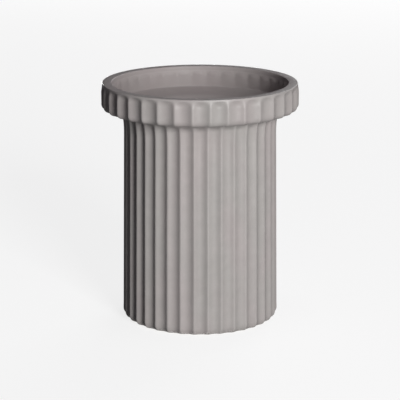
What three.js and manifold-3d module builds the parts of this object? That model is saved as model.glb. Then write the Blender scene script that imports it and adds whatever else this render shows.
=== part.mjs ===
// Fluted flower pot: a slip-cast ceramic cylinder with a wider fluted collar, a rubber stopper in its
// drain hole and four stick-on pads under it.
// Millimetres, +Z up. The origin is on the surface that the pot stands on, under the pot's centre.
// A radius of the fluted outside is measured on the ridges between the flutes.

import * as THREE from "three";
import { mergeVertices } from "three/addons/utils/BufferGeometryUtils.js";
import Module from "manifold-3d";

const wasm = await Module();
wasm.setup();

// Overall sizes
const padProud = 1; // how far the pads hold the ceramic above the table
const shellHeight = 180;
const footRadius = 59;
const neckRadius = 56.9;
const collarRadius = 73.7;
const collarHeight = 20;

// Walls and floor
const bodyWall = 5.3; // behind the deepest part of a flute
const collarWall = 6.1; // the same on the collar
const collarFloor = 3.6; // the collar's lower wall, at its outer end
const floorThickness = 6;

// Flutes: the same count on the body and the collar, in line with each other
const fluteCount = 36;
const bodyFluteDepth = 1.8;
const collarFluteDepth = 1.9;
const edgeFluteShare = 0.5; // share of a flute's depth that is left at the bottom of a rounded lower edge
const bodyFluteEnd = 4.5; // height of the upper end of a body flute, where it grows shallow
const collarFluteEnd = 5.5; // the same on the collar
const plainLip = 0.7; // smooth band between the collar flutes and the top
const innerRelief = 0.6; // how far the back of a collar flute bulges into the pot
const innerReliefEnd = 4; // height of the upper end of such a bulge, where it fades out
const innerPlainLip = 3; // smooth band between the bulges and the top

// Rounded edges
const footEdge = 4.4;
const footEdgeHeight = 5.5;
const collarLowerEdge = 4.2;
const lipTaper = 0.9; // how much the collar's outside draws in from where its flutes start to end
const lipOuterEdge = 0.5;
const lipInnerEdge = 0.7;
const neckFilletHeight = 16;
const neckFilletWidth = 3;
const undersideAngle = 9; // degrees that the collar's underside falls towards the neck
const innerFloorEdge = 6;
const ledgeAngle = 19; // degrees that the ledge inside the collar falls towards the bore
const ledgeOuterEdge = 1.5;
const ledgeInnerEdge = 7;

// Underside
const footRingWidth = 8;
const recessDepth = 1.5;
const recessDraft = 1;

// Drain hole and stopper
const holeRadius = 8;
const holeChamfer = 0.8;
const stopperClearance = 0.3;
const stopperTaper = 0.6; // how much slimmer the stem is at its lower end
const flangeOverlap = 4.5; // how far the flange reaches past the hole
const flangeThickness = 2.6;
const gripNeckRadius = 3;
const gripNeckFillet = 1;
const gripRadius = 5.5;
const gripHeight = 9;

// Pads
const padCount = 4;
const padRadius = 7;
const padEdge = 0.5;
const padMargin = 0.5; // from a pad to the wall of the recess

const cutPast = 1; // how far a body that is cut away reaches past a face

// Facets: outside columns for each flute, inside columns for each flute, and steps in a quarter round
const outerColumns = 4; // an even number, so that a column falls on each ridge
const innerColumns = 2;
const edgeSteps = 3;
const neckSteps = 5;
const endRows = [0, 0.5, 0.8, 1]; // heights of the rows in a flute's rounded end, as shares of it
const stopperColumns = 48;
const padColumns = 32;

// Heights worked out from the sizes above
const footZ = padProud;
const topZ = footZ + shellHeight;
const collarZ = topZ - collarHeight;
const recessZ = footZ + recessDepth;
const floorZ = recessZ + floorThickness;
const undersideRun = collarRadius - collarLowerEdge - neckRadius - neckFilletWidth;
const neckTopZ = collarZ - undersideRun * Math.tan(THREE.MathUtils.degToRad(undersideAngle));
const neckStartZ = neckTopZ - neckFilletHeight;
const bodyFluteTopZ = neckTopZ - bodyFluteEnd;
const recessRadius = footRadius - footEdge - footRingWidth;
const padRingRadius = recessRadius - padRadius - padMargin;
const boreFootRadius = footRadius - bodyFluteDepth - bodyWall;
const boreNeckRadius = neckRadius - bodyFluteDepth - bodyWall;
const mouthRadius = collarRadius - collarFluteDepth - collarWall;

// Points of an elliptical arc, as radius and height, from one angle to another in degrees
function arc(centreR, centreZ, radiusR, radiusZ, from, to, steps = edgeSteps) {
  const points = [];
  for (let i = 0; i <= steps; i += 1) {
    const angle = THREE.MathUtils.degToRad(from + ((to - from) * i) / steps);
    points.push([centreR + radiusR * Math.cos(angle), centreZ + radiusZ * Math.sin(angle)]);
  }
  return points;
}

// Share of a flute's full depth at a place across it, from -1 to 1, and at a share of its upper end
function scoop(across, endShare) {
  return (1 - across * across) * (1 - endShare * endShare);
}

// A closed body turned round the Z axis from points that start and end on the axis. Column 0 faces -Y.
// A point is [radius, height], and on a fluted stretch also the flute's depth there and, in the flute's
// upper end, how far into that end the point lies, from 0 to 1.
function turned(points, columns) {
  const profile = points.map(([radius, height]) => new THREE.Vector2(radius, height));
  const geometry = new THREE.LatheGeometry(profile, columns).rotateX(Math.PI / 2);
  const position = geometry.attributes.position;
  for (let i = 0; i < position.count; i += 1) {
    const [radius, , depth = 0, endShare = 0] = points[i % points.length];
    const column = Math.floor(i / points.length);
    const turns = (column / columns) * fluteCount;
    const across = 2 * (turns - Math.round(turns));
    if (depth > 0) {
      const share = 1 - (depth * scoop(across, endShare)) / radius;
      position.setXY(i, position.getX(i) * share, position.getY(i) * share);
    }
  }
  return geometry;
}

// A rounded lower edge, on which the flutes grow to their full depth
function flutedEdge(edgeRadius, bottomZ, width, height, depth) {
  const points = arc(edgeRadius - width, bottomZ + height, width, height, -90, 0);
  return points.map(([r, z]) => {
    const outward = (r - edgeRadius + width) / width;
    return [r, z, depth * THREE.MathUtils.lerp(edgeFluteShare, 1, outward)];
  });
}

// The upper ends of the collar's flutes, or of the relief that they leave inside, up to their tips
function flutedEnd(radius, depth, tipZ, height) {
  return endRows.map((share) => [radius, tipZ - (1 - share) * height, depth, share]);
}

// Conversions to and from the solids that can be cut
function toSolid(geometry) {
  const bare = geometry.clone();
  bare.deleteAttribute("normal");
  bare.deleteAttribute("uv");
  const merged = mergeVertices(bare);
  return new wasm.Manifold(
    new wasm.Mesh({
      numProp: 3,
      vertProperties: new Float32Array(merged.attributes.position.array),
      triVerts: new Uint32Array(merged.index.array),
    }),
  );
}

function toGeometry(solid) {
  const mesh = solid.getMesh();
  const geometry = new THREE.BufferGeometry();
  geometry.setAttribute("position", new THREE.BufferAttribute(mesh.vertProperties, mesh.numProp));
  geometry.setIndex(new THREE.BufferAttribute(mesh.triVerts, 1));
  geometry.computeVertexNormals();
  return geometry;
}

// Radius of the body's ridges at a height: it narrows evenly from the foot to the neck
function bodyRadiusAt(height) {
  const share = (height - footZ) / (neckTopZ - footZ);
  return THREE.MathUtils.lerp(footRadius, neckRadius, share);
}

// The body's side: the flutes run straight up, and end under the collar where the neck widens
function bodySide() {
  const neckArc = arc(neckFilletWidth, neckStartZ, neckFilletWidth, neckFilletHeight, 180, 90, neckSteps);
  return neckArc.map(([widening, height]) => {
    const endShare = THREE.MathUtils.clamp((height - bodyFluteTopZ) / bodyFluteEnd, 0, 1);
    return [bodyRadiusAt(height) + widening, height, bodyFluteDepth, endShare];
  });
}

// The collar's side: rounded at the bottom, then straight up, and drawn in a little towards the lip
function collarSide() {
  const edge = collarLowerEdge;
  const taperHeight = plainLip + collarFluteEnd;
  const upright = flutedEnd(collarRadius, collarFluteDepth, topZ - plainLip, collarFluteEnd);
  const ends = upright.map(([radius, height, depth, share]) => {
    const narrowing = lipTaper * (1 - (topZ - height) / taperHeight);
    return [radius - narrowing, height, depth, share];
  });
  const lipArcR = collarRadius - lipTaper - lipOuterEdge;
  return [
    ...flutedEdge(collarRadius, collarZ, edge, edge, collarFluteDepth),
    ...ends,
    ...arc(lipArcR, topZ - lipOuterEdge, lipOuterEdge, lipOuterEdge, 0, 90),
  ];
}

// Outside of the pot
function potOutside() {
  const points = [
    [0, recessZ],
    [recessRadius, recessZ],
    [recessRadius + recessDraft, footZ],
    ...flutedEdge(footRadius, footZ, footEdge, footEdgeHeight, bodyFluteDepth),
    ...bodySide(),
    ...collarSide(),
    [0, topZ],
  ];
  return turned(points, fluteCount * outerColumns);
}

// The ledge inside the collar: a rounded edge over the bore, a slope and a hollow round up to the wall
function ledge() {
  const angle = THREE.MathUtils.degToRad(ledgeAngle);
  const outerCentreR = mouthRadius - ledgeOuterEdge;
  const outerCentreZ = collarZ + collarFloor + ledgeOuterEdge;
  const innerCentreR = boreNeckRadius + ledgeInnerEdge;
  const edges = ledgeOuterEdge + ledgeInnerEdge;
  const run = outerCentreR - innerCentreR + edges * Math.sin(angle);
  const innerCentreZ = outerCentreZ - edges * Math.cos(angle) - run * Math.tan(angle);
  return [
    ...arc(innerCentreR, innerCentreZ, ledgeInnerEdge, ledgeInnerEdge, 180, 90 + ledgeAngle),
    ...arc(outerCentreR, outerCentreZ, ledgeOuterEdge, ledgeOuterEdge, ledgeAngle - 90, 0),
  ];
}

// Space inside the pot, from the floor to above the lip
function potInside() {
  const floorArcR = boreFootRadius - innerFloorEdge;
  const floorArc = arc(floorArcR, floorZ + innerFloorEdge, innerFloorEdge, innerFloorEdge, -90, 0);
  const lipArcR = mouthRadius + lipInnerEdge;
  const points = [
    [0, floorZ],
    ...floorArc,
    ...ledge(),
    ...flutedEnd(mouthRadius, innerRelief, topZ - innerPlainLip, innerReliefEnd),
    ...arc(lipArcR, topZ - lipInnerEdge, lipInnerEdge, lipInnerEdge, 180, 90),
    [lipArcR, topZ + cutPast],
    [0, topZ + cutPast],
  ];
  return turned(points, fluteCount * innerColumns);
}

// What is cut away for the drain hole, with the chamfer on its inner edge
function drainHole() {
  const points = [
    [0, recessZ - cutPast],
    [holeRadius, recessZ - cutPast],
    [holeRadius, floorZ - holeChamfer],
    [holeRadius + holeChamfer + cutPast, floorZ + cutPast],
    [0, floorZ + cutPast],
  ];
  return turned(points, stopperColumns);
}

function potShell() {
  const solid = toSolid(potOutside()).subtract(toSolid(potInside())).subtract(toSolid(drainHole()));
  const material = new THREE.MeshStandardMaterial({ color: 0xb3ada8, roughness: 0.8, metalness: 0 });
  const mesh = new THREE.Mesh(toGeometry(solid), material);
  mesh.name = "pot_shell";
  return mesh;
}

// Stopper: a tapered stem in the drain hole, a flange that seals on the floor and a knob to pull it by
function drainStopper() {
  const stemRadius = holeRadius - stopperClearance;
  const stemLength = floorThickness + stopperClearance;
  const flangeEdge = flangeThickness / 2;
  const flangeRadius = holeRadius + flangeOverlap;
  const gripTop = flangeThickness + gripHeight;
  const gripEdge = gripRadius - gripNeckRadius;
  const points = [
    [0, -stemLength],
    [stemRadius - stopperTaper, -stemLength],
    [stemRadius, 0],
    ...arc(flangeRadius - flangeEdge, flangeEdge, flangeEdge, flangeEdge, -90, 90, 2 * edgeSteps),
    [gripNeckRadius + gripNeckFillet, flangeThickness],
    [gripNeckRadius, flangeThickness + gripNeckFillet],
    ...arc(gripNeckRadius, gripTop - gripEdge, gripEdge, gripEdge, -90, 90, 2 * edgeSteps),
    [0, gripTop],
  ];
  const material = new THREE.MeshStandardMaterial({ color: 0x2c2c2e, roughness: 0.7, metalness: 0 });
  const mesh = new THREE.Mesh(turned(points, stopperColumns), material);
  mesh.name = "drain_stopper";
  mesh.position.z = floorZ + stopperClearance;
  return mesh;
}

// One stick-on pad: a low disc with rounded lower edge, its top face on the ceramic
function footPad(index) {
  const padHeight = recessZ;
  const points = [
    [0, 0],
    ...arc(padRadius - padEdge, padEdge, padEdge, padEdge, -90, 0),
    [padRadius, padHeight],
    [0, padHeight],
  ];
  const angle = (2 * Math.PI * (index + 0.5)) / padCount;
  const material = new THREE.MeshStandardMaterial({ color: 0x4a4846, roughness: 0.9, metalness: 0 });
  const mesh = new THREE.Mesh(turned(points, padColumns), material);
  mesh.name = `foot_pad_${index + 1}`;
  mesh.position.set(padRingRadius * Math.cos(angle), padRingRadius * Math.sin(angle), 0);
  return mesh;
}

const pot = new THREE.Group();
pot.add(potShell(), drainStopper());
for (let index = 0; index < padCount; index += 1) {
  pot.add(footPad(index));
}

export default pot;
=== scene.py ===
"""Looks of the fluted flower pot: the fine ceramic, the rubber stopper and the stick-on pads."""

import math

import bmesh
import bpy
import numpy as np
from mathutils import Matrix, Vector


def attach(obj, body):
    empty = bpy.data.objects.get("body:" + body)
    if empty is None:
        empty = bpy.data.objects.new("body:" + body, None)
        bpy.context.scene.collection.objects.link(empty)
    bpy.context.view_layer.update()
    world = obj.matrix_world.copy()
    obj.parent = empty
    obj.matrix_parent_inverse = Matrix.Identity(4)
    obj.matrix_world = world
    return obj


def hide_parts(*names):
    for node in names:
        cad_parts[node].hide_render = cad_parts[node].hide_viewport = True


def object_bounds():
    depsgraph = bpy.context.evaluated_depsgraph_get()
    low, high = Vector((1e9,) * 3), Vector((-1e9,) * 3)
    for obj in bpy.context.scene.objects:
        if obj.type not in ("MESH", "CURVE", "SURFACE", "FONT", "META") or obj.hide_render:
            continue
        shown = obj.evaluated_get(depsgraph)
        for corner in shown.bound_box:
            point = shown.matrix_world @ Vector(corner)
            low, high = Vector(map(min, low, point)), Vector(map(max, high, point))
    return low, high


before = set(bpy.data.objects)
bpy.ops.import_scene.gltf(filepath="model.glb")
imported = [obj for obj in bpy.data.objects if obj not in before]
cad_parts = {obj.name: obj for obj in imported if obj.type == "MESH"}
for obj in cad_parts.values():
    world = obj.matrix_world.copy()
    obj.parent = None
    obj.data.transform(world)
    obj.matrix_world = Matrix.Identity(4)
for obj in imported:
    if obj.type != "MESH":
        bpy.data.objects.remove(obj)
cad_low, cad_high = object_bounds()

MM = 0.001

# Sizes of the pot in millimetres, the same as in the part's source
PAD_PROUD = 1
SHELL_HEIGHT = 180
FOOT_RADIUS = 59
NECK_RADIUS = 56.9
COLLAR_RADIUS = 73.7
COLLAR_HEIGHT = 20
BODY_WALL = 5.3
COLLAR_WALL = 6.1
COLLAR_FLOOR = 3.6
FLOOR_THICKNESS = 6
FLUTE_COUNT = 36
BODY_FLUTE_DEPTH = 1.8
COLLAR_FLUTE_DEPTH = 1.9
BODY_FLUTE_END = 4.5
COLLAR_FLUTE_END = 5.5
PLAIN_LIP = 0.7
INNER_RELIEF = 0.6
INNER_RELIEF_END = 4
INNER_PLAIN_LIP = 3
FOOT_EDGE = 4.4
FOOT_EDGE_HEIGHT = 5.5
COLLAR_LOWER_EDGE = 4.2
LIP_TAPER = 0.9
LIP_OUTER_EDGE = 0.5
LIP_INNER_EDGE = 0.7
NECK_FILLET_HEIGHT = 16
NECK_FILLET_WIDTH = 3
UNDERSIDE_ANGLE = 9
INNER_FLOOR_EDGE = 6
LEDGE_ANGLE = 19
LEDGE_OUTER_EDGE = 1.5
LEDGE_INNER_EDGE = 7
FOOT_RING_WIDTH = 8
RECESS_DEPTH = 1.5
HOLE_RADIUS = 8
HOLE_CHAMFER = 0.8
STOPPER_CLEARANCE = 0.3
STOPPER_TAPER = 0.6
FLANGE_OVERLAP = 4.5
FLANGE_THICKNESS = 2.6
GRIP_NECK_RADIUS = 3
GRIP_RADIUS = 5.5
GRIP_HEIGHT = 9
PAD_COUNT = 4
PAD_RADIUS = 7
PAD_MARGIN = 0.5

# Finer forms that only the looks have, in millimetres
EDGE_FLUTE_SHARE = 0.5  # share of a flute's depth that is left at the bottom of a rounded lower edge
BODY_RIDGE_SOFTNESS = 0.24  # share of a flute's depth that its rounded ridges lose
COLLAR_RIDGE_SOFTNESS = 0.18
RELIEF_SOFTNESS = 0.4  # the same for the relief inside the collar
RIDGE_INSET = 0.01  # keeps the softened ridges inside the solid's box
RECESS_SLOPE = 2.2  # width of the soft step from the recess to the foot ring
HOLE_LOWER_EDGE = 0.5
STEM_EDGE = 1
RIB_COUNT = 3  # sealing ribs round the stopper's stem
RIB_PROUD = 0.22
RIB_WIDTH = 1.1
FLANGE_GROOVE_RADIUS = 9.5
FLANGE_GROOVE_WIDTH = 0.8
FLANGE_GROOVE_DEPTH = 0.3
GRIP_NECK_FILLET = 1.6
GRIP_DIMPLE_DEPTH = 0.5
PAD_EDGE = 0.6
PAD_GROOVE_RADII = (2.2, 4.2)
PAD_GROOVE_WIDTH = 0.5
PAD_GROOVE_DEPTH = 0.2

# The ridges stray sideways by crossed waves, each one so many times round the pot and so long upwards
SWAY = 0.15
SLOW_SWAY_SHARE = 0.65
SLOW_WAVES = ((5, 48), (2, 29))
QUICK_WAVES = ((13, 20), (7, 16))

# Facets
COLUMNS_PER_FLUTE = 18
COLUMN_CROWDING = 1.6  # above 1, the columns lie closer together at the ridges
EDGE_STEPS = 8
END_STEPS = 14
SIDE_STEPS = 34
GROOVE_STEPS = 6
ROUND_COLUMNS = 96
MERGE_DISTANCE = 0.001

# Colours, linear, and the sizes in millimetres of what varies in them. A range is the stretch of the
# noise, which goes from 0 to 1, over which something changes.
NOISE_RANGE = (0.3, 0.7)
GLAZE_PINKISH = (0.454, 0.414, 0.404, 1)
GLAZE_GREENISH = (0.441, 0.419, 0.402, 1)
GLAZE_SPECK = (0.33, 0.31, 0.3, 1)
GLAZE_THIN = (0.58, 0.55, 0.53, 1)  # where it has run thin on the ridges
# inside the pot: pinker than outside, and darker as painted shade
GLAZE_INSIDE_PINK_AND_SHADED = (0.375, 0.33, 0.326, 1)
INSIDE_SHARE = 0.7  # how far the inside's colour and roughness go towards their own
CLOUD_SIZE = 24
CLOUD_RANGE = (0.38, 0.62)
CLOUD_STRETCH = 2.5  # the clouds are this much longer upwards
PATCH_SIZE = 9
PATCH_DARKENING = 0.08
SPECK_SIZE = 0.9
SPECK_SHARE = 0.12
THIN_START = 0.8  # from this share of the way up a ridge
THIN_SHARE = 0.16
GLAZE_ROUGHNESS = (0.34, 0.44)
INSIDE_ROUGHNESS = 0.58
GLAZE_ROUGHNESS_SIZE = 5
GLAZE_REFRACTION = 1.4
GLAZE_WAVE_SIZE = 6
GLAZE_WAVE_DEPTH = 0.12
SPECK_DEPTH = 0.035
CLAY_LIGHT = (0.6, 0.53, 0.45, 1)
CLAY_DARK = (0.5, 0.44, 0.37, 1)
CLAY_SIZE = 1.4
CLAY_LINE = (1.5, 1.75)  # heights between which the glaze starts above the bare foot ring
CLAY_LINE_WAVE = 0.6
CLAY_LINE_WAVE_SIZE = 3
STOPPER_COLOUR = (0.024, 0.024, 0.026, 1)
STOPPER_DUST = (0.05, 0.048, 0.045, 1)
PAD_COLOUR = (0.068, 0.064, 0.06, 1)
PAD_DUST = (0.11, 0.105, 0.1, 1)
DUST_SIZE = 4
DUST_RANGE = (0.45, 0.75)
DUST_SHARE = 0.5
RUBBER_ROUGHNESS = (0.62, 0.82)
RUBBER_ROUGHNESS_SIZE = 2.5
PEBBLE_SIZE = 0.5
PEBBLE_DEPTH = 0.03
WHITE = (1, 1, 1, 1)
BLACK = (0, 0, 0, 1)

# Stage, in metres, degrees and watts
FLOOR_HALF_WIDTH = 6.0
FLOOR_COLOUR = (0.25, 0.25, 0.25, 1)
FLOOR_GLOW = 0.8  # only to the camera
BACKGROUND = 0.922
AMBIENT = 0.032
AMBIENT_TINT = (0.82, 0.74, 1, 1)

KEY_AZIMUTH = 21  # to the right of the camera
KEY_ELEVATION = 14
KEY_DISTANCE = 2.4
KEY_WIDTH = 0.65
KEY_HEIGHT = 1.1
KEY_POWER = 54.2

BACK_AZIMUTH = 155
BACK_ELEVATION = 25
BACK_DISTANCE = 2.6
BACK_WIDTH = 1.4
BACK_POWER = 18

REAR_AZIMUTH = -172
REAR_ELEVATION = 0
REAR_DISTANCE = 2.6
REAR_WIDTH = 1.2
REAR_HEIGHT = 0.16  # no higher than the pot, so that it doesn't shine into it
REAR_POWER = 20

STRAIGHT_UP = 90  # elevation of the lamp over the pot, and negative of the one under it
TOP_DISTANCE = 2.2
TOP_WIDTH = 0.4
TOP_POWER = 3

UNDER_DISTANCE = 0.2  # below the middle of the pot, under the clear floor
UNDER_WIDTH = 0.07  # narrower than the foot, so that only the underside is lit
UNDER_POWER = 0.1

CAMERA_AZIMUTH = -0.83  # a little to the left of a ridge's middle
CAMERA_DISTANCE = 1.2301
CAMERA_HEIGHT = 0.4103
CAMERA_PITCH = 14.607
FOCAL_PIXELS = 1676
IMAGE_PIXELS = 400
SENSOR_WIDTH = 36

# Heights and radii worked out from the sizes
FOOT_Z = PAD_PROUD
TOP_Z = FOOT_Z + SHELL_HEIGHT
COLLAR_Z = TOP_Z - COLLAR_HEIGHT
RECESS_Z = FOOT_Z + RECESS_DEPTH
FLOOR_Z = RECESS_Z + FLOOR_THICKNESS
UNDERSIDE_RUN = COLLAR_RADIUS - COLLAR_LOWER_EDGE - NECK_RADIUS - NECK_FILLET_WIDTH
NECK_TOP_Z = COLLAR_Z - UNDERSIDE_RUN * math.tan(math.radians(UNDERSIDE_ANGLE))
NECK_START_Z = NECK_TOP_Z - NECK_FILLET_HEIGHT
BODY_FLUTE_TOP_Z = NECK_TOP_Z - BODY_FLUTE_END
RECESS_RADIUS = FOOT_RADIUS - FOOT_EDGE - FOOT_RING_WIDTH
PAD_RING_RADIUS = RECESS_RADIUS - PAD_RADIUS - PAD_MARGIN
BORE_FOOT_RADIUS = FOOT_RADIUS - BODY_FLUTE_DEPTH - BODY_WALL
BORE_NECK_RADIUS = NECK_RADIUS - BODY_FLUTE_DEPTH - BODY_WALL
MOUTH_RADIUS = COLLAR_RADIUS - COLLAR_FLUTE_DEPTH - COLLAR_WALL


# Profiles: rows of radius, height, flute depth and how far into a flute's rounded end the row lies


def arc(centre_r, centre_z, radius_r, radius_z, start, end, steps=EDGE_STEPS):
    """Radius and height along an elliptical arc, from one angle to another in degrees."""
    angles = np.radians(np.linspace(start, end, steps + 1))
    return [(centre_r + radius_r * math.cos(a), centre_z + radius_z * math.sin(a)) for a in angles]


def corner(centre_r, centre_z, radius, start, end, steps=EDGE_STEPS):
    """The same along a round arc."""
    return arc(centre_r, centre_z, radius, radius, start, end, steps)


def plain(points):
    """Rows with no flutes."""
    return [(r, z, 0, 0) for r, z in points]


def fluted_edge(edge_r, bottom_z, width, height, depth):
    """Rows up a rounded lower edge, on which the flutes grow to their full depth."""
    rows = []
    for r, z in arc(edge_r - width, bottom_z + height, width, height, -90, 0):
        outward = (r - edge_r + width) / width
        rows.append((r, z, depth * (EDGE_FLUTE_SHARE + (1 - EDGE_FLUTE_SHARE) * outward), 0))
    return rows


def between(first, last, steps):
    """Rows evenly spaced between two rows, without these two."""
    shares = np.arange(1, steps) / steps
    return [tuple(np.add(first, share * np.subtract(last, first))) for share in shares]


def flute_end(radius, depth, tip_z, height):
    """The rounded upper end of a band of flutes, from its start to its tip, closer together at the tip."""
    shares = np.sin(np.linspace(0, math.pi / 2, END_STEPS + 1))
    return [(radius, tip_z - (1 - share) * height, depth, share) for share in shares]


def lip_narrowing(z):
    """How far the collar's outside has drawn in at a height, from where its flutes start to end."""
    return LIP_TAPER * (1 - (TOP_Z - z) / (PLAIN_LIP + COLLAR_FLUTE_END))


def body_side():
    """Rows up the body: it narrows evenly to the neck, where it widens under the collar."""
    straight = np.linspace(FOOT_Z + FOOT_EDGE_HEIGHT, NECK_START_Z, SIDE_STEPS)[1:-1]
    points = [(0, z) for z in straight]
    width, height = NECK_FILLET_WIDTH, NECK_FILLET_HEIGHT
    points += arc(width, NECK_START_Z, width, height, 180, 90, 2 * EDGE_STEPS)
    rows = []
    for widening, z in points:
        narrowing = (z - FOOT_Z) / (NECK_TOP_Z - FOOT_Z) * (FOOT_RADIUS - NECK_RADIUS)
        share = min(max((z - BODY_FLUTE_TOP_Z) / BODY_FLUTE_END, 0), 1)
        rows.append((FOOT_RADIUS - narrowing + widening, z, BODY_FLUTE_DEPTH, share))
    return rows


def ledge():
    """Rows from the bore up over the ledge to the collar's inner wall."""
    angle = math.radians(LEDGE_ANGLE)
    outer_r = MOUTH_RADIUS - LEDGE_OUTER_EDGE
    outer_z = COLLAR_Z + COLLAR_FLOOR + LEDGE_OUTER_EDGE
    inner_r = BORE_NECK_RADIUS + LEDGE_INNER_EDGE
    edges = LEDGE_OUTER_EDGE + LEDGE_INNER_EDGE
    run = outer_r - inner_r + edges * math.sin(angle)
    inner_z = outer_z - edges * math.cos(angle) - run * math.tan(angle)
    inner = plain(corner(inner_r, inner_z, LEDGE_INNER_EDGE, 180, 90 + LEDGE_ANGLE))
    outer = plain(corner(outer_r, outer_z, LEDGE_OUTER_EDGE, LEDGE_ANGLE - 90, 0))
    return inner + between(inner[-1], outer[0], EDGE_STEPS) + outer


def underside():
    """Rows from the drain hole's lower edge over the recess to the foot ring."""
    hole_r, hole_z = HOLE_RADIUS + HOLE_LOWER_EDGE, RECESS_Z + HOLE_LOWER_EDGE
    hole = plain(corner(hole_r, hole_z, HOLE_LOWER_EDGE, 180, 270))
    steps = np.linspace(0, 1, EDGE_STEPS + 1)
    soft = steps * steps * (3 - 2 * steps)
    recess = plain(zip(RECESS_RADIUS + steps * RECESS_SLOPE, RECESS_Z - soft * RECESS_DEPTH))
    return hole + between(hole[-1], recess[0], EDGE_STEPS) + recess


def outer_rows():
    """Rows from the drain hole's lower edge, under the foot and up the outside to the lip."""
    under = underside()
    foot = fluted_edge(FOOT_RADIUS, FOOT_Z, FOOT_EDGE, FOOT_EDGE_HEIGHT, BODY_FLUTE_DEPTH)
    side = body_side()
    edge = COLLAR_LOWER_EDGE
    lower = fluted_edge(COLLAR_RADIUS, COLLAR_Z, edge, edge, COLLAR_FLUTE_DEPTH)
    upright = flute_end(COLLAR_RADIUS, COLLAR_FLUTE_DEPTH, TOP_Z - PLAIN_LIP, COLLAR_FLUTE_END)
    ends = [(r - lip_narrowing(z), z, depth, share) for r, z, depth, share in upright]
    lip_r = COLLAR_RADIUS - LIP_TAPER - LIP_OUTER_EDGE
    lip = plain(corner(lip_r, TOP_Z - LIP_OUTER_EDGE, LIP_OUTER_EDGE, 0, 90))
    return (
        under
        + between(under[-1], foot[0], EDGE_STEPS)
        + foot
        + side
        + between(side[-1], lower[0], EDGE_STEPS)
        + lower
        + between(lower[-1], ends[0], EDGE_STEPS)
        + ends
        + lip
    )


def inner_rows():
    """Rows from the drain hole's upper edge over the floor and up the inside to the lip."""
    chamfer = plain([(HOLE_RADIUS, FLOOR_Z - HOLE_CHAMFER), (HOLE_RADIUS + HOLE_CHAMFER, FLOOR_Z)])
    edge = INNER_FLOOR_EDGE
    bottom = plain(corner(BORE_FOOT_RADIUS - edge, FLOOR_Z + edge, edge, -90, 0))
    shelf = ledge()
    relief = flute_end(MOUTH_RADIUS, INNER_RELIEF, TOP_Z - INNER_PLAIN_LIP, INNER_RELIEF_END)
    lip = plain(corner(MOUTH_RADIUS + LIP_INNER_EDGE, TOP_Z - LIP_INNER_EDGE, LIP_INNER_EDGE, 180, 90))
    return (
        chamfer
        + between(chamfer[-1], bottom[0], EDGE_STEPS)
        + bottom
        + between(bottom[-1], shelf[0], SIDE_STEPS)
        + shelf
        + relief
        + lip
    )


# Meshes


def turned_mesh(name, radii, heights, angles, closed):
    """A mesh turned round the Z axis from grids of radius and height in millimetres.

    The grids have a line for each row of the profile and a column for each angle. A closed profile joins
    its last row to its first. An open one starts and ends on the axis.
    """
    rows, columns = radii.shape
    points = np.stack([radii * np.sin(angles), -radii * np.cos(angles), heights], axis=-1)
    faces = []
    for row in range(rows if closed else rows - 1):
        lower = row * columns
        upper = (row + 1) % rows * columns
        for column in range(columns):
            following = (column + 1) % columns
            faces.append((lower + column, lower + following, upper + following, upper + column))
    mesh = bpy.data.meshes.new(name)
    mesh.from_pydata((points.reshape(-1, 3) * MM).tolist(), [], faces)
    return mesh


def finished(name, mesh, material):
    """The object of a mesh, with the doubled points on its axis merged, faces out and shaded smooth."""
    work = bmesh.new()
    work.from_mesh(mesh)
    bmesh.ops.remove_doubles(work, verts=work.verts, dist=MERGE_DISTANCE * MM)
    bmesh.ops.recalc_face_normals(work, faces=work.faces)
    work.to_mesh(mesh)
    work.free()
    mesh.shade_smooth()
    mesh.materials.append(material)
    made = bpy.data.objects.new(name, mesh)
    bpy.context.scene.collection.objects.link(made)
    return made


def flute_columns():
    """Each column's angle round the pot and its place across its flute, from -1 to 1."""
    turns = np.arange(FLUTE_COUNT * COLUMNS_PER_FLUTE) / COLUMNS_PER_FLUTE
    place = 2 * (turns - np.round(turns))
    across = np.sign(place) * (1 - (1 - np.abs(place)) ** COLUMN_CROWDING)
    return (np.round(turns) + across / 2) * 2 * math.pi / FLUTE_COUNT, across


def scoop(across, end_share, softness):
    """Share of a flute's full depth. It falls softly to nothing at the ridges and at the rounded end."""
    inside = (1 - across**2) * (1 - end_share**2)
    soft = np.where(inside < 2 * softness, inside**2 / (4 * softness), inside - softness)
    return soft / (1 - softness)


def crossed_waves(waves, angles, heights):
    """Product of waves round the pot and up it."""
    return math.prod(np.sin(count * angles + heights / length) for count, length in waves)


def sway(angles, heights):
    """The small sideways stray of the ridges, in millimetres. It is nothing at the foot and the neck."""
    slow = crossed_waves(SLOW_WAVES, angles, heights)
    quick = crossed_waves(QUICK_WAVES, angles, heights)
    share = np.clip((NECK_START_Z - heights) / (NECK_START_Z - FOOT_Z), 0, 1)
    free = 4 * share * (1 - share)
    return SWAY * free * (SLOW_SWAY_SHARE * slow + (1 - SLOW_SWAY_SHARE) * quick)


def ceramic_pot(material):
    """The pot: one closed surface, outside from the hole to the lip and back down the inside."""
    outside = outer_rows()
    rows = np.array(outside + inner_rows()[::-1])
    angles, across = flute_columns()
    radius, height, depth, share = (rows[:, [i]] for i in range(4))
    softness = np.where(height < COLLAR_Z, BODY_RIDGE_SOFTNESS, COLLAR_RIDGE_SOFTNESS)
    softness[len(outside):] = RELIEF_SOFTNESS
    pressed = scoop(across[None, :], share, softness)
    radii = radius - depth * pressed - RIDGE_INSET * (depth > 0)
    heights = np.repeat(height, len(angles), axis=1)
    swayed = angles[None, :] + sway(angles[None, :], heights) / radius
    mesh = turned_mesh("ceramic_pot", radii, heights, swayed, closed=True)
    ridge = np.where(depth > 0, 1 - pressed, 0) * (share < 1)
    inside = np.zeros_like(ridge)
    inside[len(outside):] = 1
    for name, values in (("ridge", ridge), ("inside", inside)):
        mark = mesh.attributes.new(name, "FLOAT", "POINT")
        mark.data.foreach_set("value", values.astype(np.float32).ravel())
    return finished("ceramic_pot", mesh, material)


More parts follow.
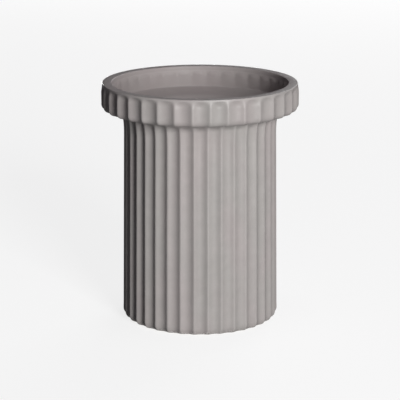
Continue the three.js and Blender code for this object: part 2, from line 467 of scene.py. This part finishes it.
def turned_solid(name, points, material):
    """A plain turned piece from points of radius and height that start and end on the axis."""
    profile = np.array(points)
    angles = np.arange(ROUND_COLUMNS) * 2 * math.pi / ROUND_COLUMNS
    radii = np.repeat(profile[:, [0]], ROUND_COLUMNS, axis=1)
    heights = np.repeat(profile[:, [1]], ROUND_COLUMNS, axis=1)
    return finished(name, turned_mesh(name, radii, heights, angles, closed=False), material)


def groove(centre, width, depth, level):
    """Points of a shallow round groove in a flat face, from its outer side to its inner side."""
    shares = np.linspace(-1, 1, GROOVE_STEPS + 1)
    return [(centre - share * width / 2, level + depth * (1 - share * share)) for share in shares]


def stopper_stem(foot, seat):
    """Points up the stem, which is slimmer at its foot and has sealing ribs round it."""
    stem_radius = HOLE_RADIUS - STOPPER_CLEARANCE
    points = corner(stem_radius - STOPPER_TAPER - STEM_EDGE, foot + STEM_EDGE, STEM_EDGE, -90, 0)
    gap = (seat - foot) / (RIB_COUNT + 1)
    for rib in range(RIB_COUNT):
        middle = foot + gap * (rib + 1)
        radius = stem_radius - STOPPER_TAPER * (seat - middle) / (seat - foot)
        points += arc(radius, middle, RIB_PROUD, RIB_WIDTH / 2, -90, 90)
    return points + [(stem_radius, seat)]


def stopper_grip(base):
    """Points up the knob, with a dimple for the finger tip."""
    fillet = GRIP_NECK_FILLET
    points = corner(GRIP_NECK_RADIUS + fillet, base + fillet, fillet, 270, 180)
    bulge = GRIP_RADIUS - GRIP_NECK_RADIUS
    tip = base + GRIP_HEIGHT
    points += corner(GRIP_NECK_RADIUS, tip - bulge, bulge, -90, 90, 2 * EDGE_STEPS)[1:]
    for share in np.linspace(0, 1, EDGE_STEPS + 1)[1:]:
        sunk = GRIP_DIMPLE_DEPTH * (1 - math.cos(math.pi * share)) / 2
        points.append((GRIP_NECK_RADIUS * (1 - share), tip - sunk))
    return points


def rubber_stopper(material):
    """The stopper: a stem in the drain hole, a flange with a groove on the floor and a knob."""
    seat = FLOOR_Z + STOPPER_CLEARANCE
    foot = seat - FLOOR_THICKNESS - STOPPER_CLEARANCE
    edge = FLANGE_THICKNESS / 2
    top = seat + FLANGE_THICKNESS
    flange_r = HOLE_RADIUS + FLANGE_OVERLAP - edge
    points = [(0, foot)] + stopper_stem(foot, seat)
    points += corner(flange_r, seat + edge, edge, -90, 90, 2 * EDGE_STEPS)
    points += groove(FLANGE_GROOVE_RADIUS, FLANGE_GROOVE_WIDTH, -FLANGE_GROOVE_DEPTH, top)
    points += stopper_grip(top)
    return turned_solid("rubber_stopper", points, material)


def rubber_pad(index, material):
    """One stick-on pad with two shallow rings in its lower face."""
    points = [(0, 0)]
    for ring in PAD_GROOVE_RADII:
        points += groove(ring, PAD_GROOVE_WIDTH, PAD_GROOVE_DEPTH, 0)[::-1]
    points += corner(PAD_RADIUS - PAD_EDGE, PAD_EDGE, PAD_EDGE, -90, 0)
    points += [(PAD_RADIUS, RECESS_Z), (0, RECESS_Z)]
    made = turned_solid(f"rubber_pad_{index + 1}", points, material)
    angle = 2 * math.pi * (index + 0.5) / PAD_COUNT
    offset = Vector((math.cos(angle), math.sin(angle), 0)) * PAD_RING_RADIUS * MM
    made.data.transform(Matrix.Translation(offset))
    return made


# Materials


class Nodes:
    """A node tree, with short ways to add the nodes that it needs."""

    def __init__(self, tree):
        self.tree = tree

    def node(self, kind, **settings):
        made = self.tree.nodes.new(kind)
        for name, value in settings.items():
            setattr(made, name, value)
        return made

    def feed(self, source, socket):
        """Link a socket to another, or set it to a value."""
        if isinstance(source, bpy.types.NodeSocket):
            self.tree.links.new(source, socket)
        else:
            socket.default_value = source

    def mix(self, share, first, second):
        """A mix of two colours, each one a colour or a socket."""
        made = self.node("ShaderNodeMix", data_type="RGBA")
        for source, name, kind in ((share, "Factor", "VALUE"), (first, "A", "RGBA"), (second, "B", "RGBA")):
            self.feed(source, next(i for i in made.inputs if i.name == name and i.type == kind))
        return next(o for o in made.outputs if o.type == "RGBA")

    def spread(self, value, low, high, to_low, to_high):
        """The value's range from low to high stretched to another range."""
        made = self.node("ShaderNodeMapRange")
        for name, number in zip(("From Min", "From Max", "To Min", "To Max"), (low, high, to_low, to_high)):
            made.inputs[name].default_value = number
        self.feed(value, made.inputs["Value"])
        return made.outputs["Result"]


class Paint(Nodes):
    """The nodes of one material of the object, placed by its own coordinates."""

    def __init__(self, name):
        self.material = bpy.data.materials.new(name)
        self.material.use_nodes = True
        super().__init__(self.material.node_tree)
        self.shader = self.tree.nodes["Principled BSDF"]
        self.place = self.node("ShaderNodeTexCoord").outputs["Object"]

    def noise(self, size, detail=3, stretch=1):
        """Noise from 0 to 1 with lumps about this many millimetres across, and stretched upwards."""
        scaled = self.node("ShaderNodeVectorMath", operation="MULTIPLY")
        scaled.inputs[1].default_value = (1, 1, 1 / stretch)
        self.feed(self.place, scaled.inputs[0])
        made = self.node("ShaderNodeTexNoise")
        made.inputs["Scale"].default_value = 1 / (size * MM)
        made.inputs["Detail"].default_value = detail
        self.feed(scaled.outputs["Vector"], made.inputs["Vector"])
        return made.outputs["Fac"]

    def patches(self, size, span=NOISE_RANGE, to_low=0, to_high=1, **settings):
        """Noise of which one range fills another."""
        return self.spread(self.noise(size, **settings), *span, to_low, to_high)

    def mark(self, name):
        """A value that the mesh carries at its points."""
        return self.node("ShaderNodeAttribute", attribute_name=name).outputs["Fac"]

    def bump(self, height, depth, under=None):
        """Bump of a height from 0 to 1 that stands for this many millimetres."""
        made = self.node("ShaderNodeBump")
        made.inputs["Distance"].default_value = depth * MM
        self.feed(height, made.inputs["Height"])
        if under is not None:
            self.feed(under, made.inputs["Normal"])
        return made.outputs["Normal"]

    def finish(self, colour, roughness, normal):
        self.feed(colour, self.shader.inputs["Base Color"])
        self.feed(roughness, self.shader.inputs["Roughness"])
        self.feed(normal, self.shader.inputs["Normal"])
        return self.material


def grey(tone):
    """A plain value written as a colour, for a mix."""
    return (tone, tone, tone, 1)


def glaze_colour(paint, grain, inside):
    """Warm grey with faint pink and green clouds, patches and fine specks, paler on ridges, and inside pinker
    and darker, the darkening being painted shade.
    """
    clouds = paint.patches(CLOUD_SIZE, CLOUD_RANGE, detail=2, stretch=CLOUD_STRETCH)
    colour = paint.mix(clouds, GLAZE_PINKISH, GLAZE_GREENISH)
    darker = paint.mix(PATCH_DARKENING, colour, BLACK)
    colour = paint.mix(paint.patches(PATCH_SIZE), colour, darker)
    colour = paint.mix(paint.spread(grain, *NOISE_RANGE, 0, SPECK_SHARE), colour, GLAZE_SPECK)
    # inside the pot the glaze turns pinker and darker; the darkening is painted shade
    colour = paint.mix(inside, colour, GLAZE_INSIDE_PINK_AND_SHADED)
    ridge = paint.mark("ridge")
    return paint.mix(paint.spread(ridge, THIN_START, 1, 0, THIN_SHARE), colour, GLAZE_THIN)


def bare_clay_share(paint):
    """1 on the bare foot ring and 0 on the glaze, with a slightly wavy line between them."""
    height = paint.node("ShaderNodeSeparateXYZ")
    paint.feed(paint.place, height.inputs["Vector"])
    wavy = paint.node("ShaderNodeMath", operation="MULTIPLY_ADD")
    paint.feed(paint.noise(CLAY_LINE_WAVE_SIZE), wavy.inputs[0])
    paint.feed(CLAY_LINE_WAVE * MM, wavy.inputs[1])
    paint.feed(height.outputs["Z"], wavy.inputs[2])
    low, high = CLAY_LINE
    return paint.spread(wavy.outputs["Value"], low * MM, high * MM, 1, 0)


def ceramic_glaze():
    """Satin warm grey glaze over a pale clay, which is bare under the foot ring."""
    paint = Paint("ceramic_glaze")
    grain = paint.noise(SPECK_SIZE, detail=4)
    inside = paint.spread(paint.mark("inside"), 0, 1, 0, INSIDE_SHARE)
    clay = paint.mix(paint.patches(CLAY_SIZE), CLAY_LIGHT, CLAY_DARK)
    colour = paint.mix(bare_clay_share(paint), glaze_colour(paint, grain, inside), clay)
    smooth, rough = GLAZE_ROUGHNESS
    patchy = paint.patches(GLAZE_ROUGHNESS_SIZE, to_low=smooth, to_high=rough)
    roughness = paint.mix(inside, patchy, grey(INSIDE_ROUGHNESS))
    paint.shader.inputs["IOR"].default_value = GLAZE_REFRACTION
    waves = paint.noise(GLAZE_WAVE_SIZE, detail=2)
    normal = paint.bump(waves, GLAZE_WAVE_DEPTH, paint.bump(grain, SPECK_DEPTH))
    return paint.finish(colour, roughness, normal)


def moulded_rubber(name, base, dusty):
    """Matte moulded rubber with a fine pebbled skin and a little dust."""
    paint = Paint(name)
    colour = paint.mix(paint.patches(DUST_SIZE, DUST_RANGE, 0, DUST_SHARE), base, dusty)
    smooth, rough = RUBBER_ROUGHNESS
    roughness = paint.patches(RUBBER_ROUGHNESS_SIZE, to_low=smooth, to_high=rough)
    return paint.finish(colour, roughness, paint.bump(paint.noise(PEBBLE_SIZE, detail=2), PEBBLE_DEPTH))


def pale_floor():
    """Pale floor that shows the pot's shadow. To eyes and lamps below it is clear, to show the underside."""
    material = bpy.data.materials.new("pale_floor")
    material.use_nodes = True
    material.node_tree.nodes.clear()
    nodes = Nodes(material.node_tree)
    matte = nodes.node("ShaderNodeBsdfDiffuse")
    nodes.feed(FLOOR_COLOUR, matte.inputs["Color"])
    path = nodes.node("ShaderNodeLightPath")
    glow = nodes.node("ShaderNodeEmission")
    nodes.feed(nodes.spread(path.outputs["Is Camera Ray"], 0, 1, 0, FLOOR_GLOW), glow.inputs["Strength"])
    both = nodes.node("ShaderNodeAddShader")
    nodes.feed(matte.outputs["BSDF"], both.inputs[0])
    nodes.feed(glow.outputs["Emission"], both.inputs[1])
    clear = nodes.node("ShaderNodeBsdfTransparent")
    side = nodes.node("ShaderNodeNewGeometry")
    either = nodes.node("ShaderNodeMath", operation="MAXIMUM")
    nodes.feed(side.outputs["Backfacing"], either.inputs[0])
    nodes.feed(path.outputs["Is Shadow Ray"], either.inputs[1])
    choice = nodes.node("ShaderNodeMixShader")
    nodes.feed(either.outputs["Value"], choice.inputs["Fac"])
    nodes.feed(both.outputs["Shader"], choice.inputs[1])
    nodes.feed(clear.outputs["BSDF"], choice.inputs[2])
    out = nodes.node("ShaderNodeOutputMaterial")
    nodes.feed(choice.outputs["Shader"], out.inputs["Surface"])
    return material


# Stage


def area_light(name, azimuth, elevation, distance, width, height, power):
    """An oblong soft light that faces the middle of the pot. Azimuth 0 is the camera's side, 90 its right."""
    data = bpy.data.lights.new(name, "AREA")
    data.shape = "RECTANGLE"
    data.size = width
    data.size_y = height
    data.energy = power
    light = bpy.data.objects.new(name, data)
    bpy.context.scene.collection.objects.link(light)
    turn, rise = math.radians(azimuth), math.radians(elevation)
    away = Vector((math.sin(turn) * math.cos(rise), -math.cos(turn) * math.cos(rise), math.sin(rise)))
    light.location = (cad_low + cad_high) / 2 + away * distance
    light.rotation_euler = away.to_track_quat("Z", "Y").to_euler()
    return light


def stage_floor():
    mesh = bpy.data.meshes.new("floor")
    w = FLOOR_HALF_WIDTH
    mesh.from_pydata([(-w, -w, 0), (w, -w, 0), (w, w, 0), (-w, w, 0)], [], [(0, 1, 2, 3)])
    mesh.materials.append(pale_floor())
    floor = bpy.data.objects.new("floor", mesh)
    bpy.context.scene.collection.objects.link(floor)


def surroundings():
    """A dim even light from all round. To the camera it is the photo's pale background."""
    world = bpy.data.worlds.new("surroundings")
    bpy.context.scene.world = world
    world.use_nodes = True
    nodes = Nodes(world.node_tree)
    background = nodes.tree.nodes["Background"]
    seen = nodes.node("ShaderNodeLightPath").outputs["Is Camera Ray"]
    nodes.feed(nodes.mix(seen, AMBIENT_TINT, WHITE), background.inputs["Color"])
    nodes.feed(nodes.spread(seen, 0, 1, AMBIENT, BACKGROUND), background.inputs["Strength"])


def camera():
    data = bpy.data.cameras.new("camera")
    data.sensor_width = SENSOR_WIDTH
    data.lens = FOCAL_PIXELS * SENSOR_WIDTH / IMAGE_PIXELS
    made = bpy.data.objects.new("camera", data)
    bpy.context.scene.collection.objects.link(made)
    turn = math.radians(CAMERA_AZIMUTH)
    away = CAMERA_DISTANCE
    made.location = (math.sin(turn) * away, -math.cos(turn) * away, CAMERA_HEIGHT)
    made.rotation_euler = (math.radians(90 - CAMERA_PITCH), 0, turn)
    bpy.context.scene.camera = made


# The object

pot = ceramic_pot(ceramic_glaze())
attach(pot, "pot")
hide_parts("pot_shell")

stopper = rubber_stopper(moulded_rubber("stopper_rubber", STOPPER_COLOUR, STOPPER_DUST))
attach(stopper, "stopper")
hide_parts("drain_stopper")

pad_rubber = moulded_rubber("pad_rubber", PAD_COLOUR, PAD_DUST)
for index in range(PAD_COUNT):
    pad = rubber_pad(index, pad_rubber)
    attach(pad, "pot")
    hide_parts(f"foot_pad_{index + 1}")

# The photo's stage

stage_floor()
surroundings()
area_light("key", KEY_AZIMUTH, KEY_ELEVATION, KEY_DISTANCE, KEY_WIDTH, KEY_HEIGHT, KEY_POWER)
area_light("back_fill", BACK_AZIMUTH, BACK_ELEVATION, BACK_DISTANCE, BACK_WIDTH, BACK_WIDTH, BACK_POWER)
rear = area_light("rear", REAR_AZIMUTH, REAR_ELEVATION, REAR_DISTANCE, REAR_WIDTH, REAR_HEIGHT, REAR_POWER)
rear.visible_camera = False
area_light("top_fill", 0, STRAIGHT_UP, TOP_DISTANCE, TOP_WIDTH, TOP_WIDTH, TOP_POWER)
area_light("underside", 0, -STRAIGHT_UP, UNDER_DISTANCE, UNDER_WIDTH, UNDER_WIDTH, UNDER_POWER)
camera()
bpy.context.scene.view_settings.view_transform = "Standard"
